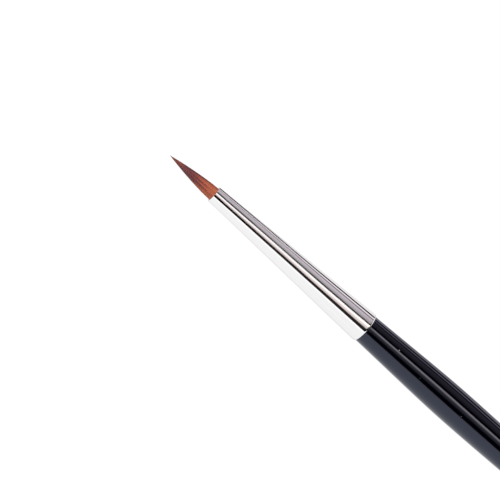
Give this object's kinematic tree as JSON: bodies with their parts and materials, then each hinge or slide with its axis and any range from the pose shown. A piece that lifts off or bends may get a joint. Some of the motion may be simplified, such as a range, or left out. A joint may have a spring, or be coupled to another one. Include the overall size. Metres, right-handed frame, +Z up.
{
  "type": "detail brush",
  "caption": "Short-handled round brush for fine painting: pointed hair tuft, bright tapered metal ferrule and a dark lacquered wooden handle with a finger belly and a long waist",
  "frame": {"origin": "centre of the bounding box at its lowest level, which is the surface that the brush lies on with the belly and the tail of its handle", "axes": "+X along the brush from the tip of the hair to the tail of the handle, +Y across it, +Z up"},
  "size_m": [0.1882, 0.007, 0.007],
  "materials": {
    "lacquered_wood": "turned wood under a thick, glossy blue-black dipped lacquer",
    "bright_metal": "bright polished, with faint lengthwise drawing lines",
    "brush_hair": "fine straight hairs, orange-brown with red points and a dark band",
    "cotton_thread": "waxed undyed thread",
    "resin_cement": "cast amber resin",
    "wood_glue": "dried pale glue"
  },
  "bodies": {
    "root": {"handle": "lacquered_wood", "ferrule": "bright_metal", "hair_core": "brush_hair", "hair_inner": "brush_hair", "hair_middle": "brush_hair", "hair_outer": "brush_hair", "root_thread": "cotton_thread", "root_cement": "resin_cement", "tenon_glue": "wood_glue"}
  },
  "joints": []
}
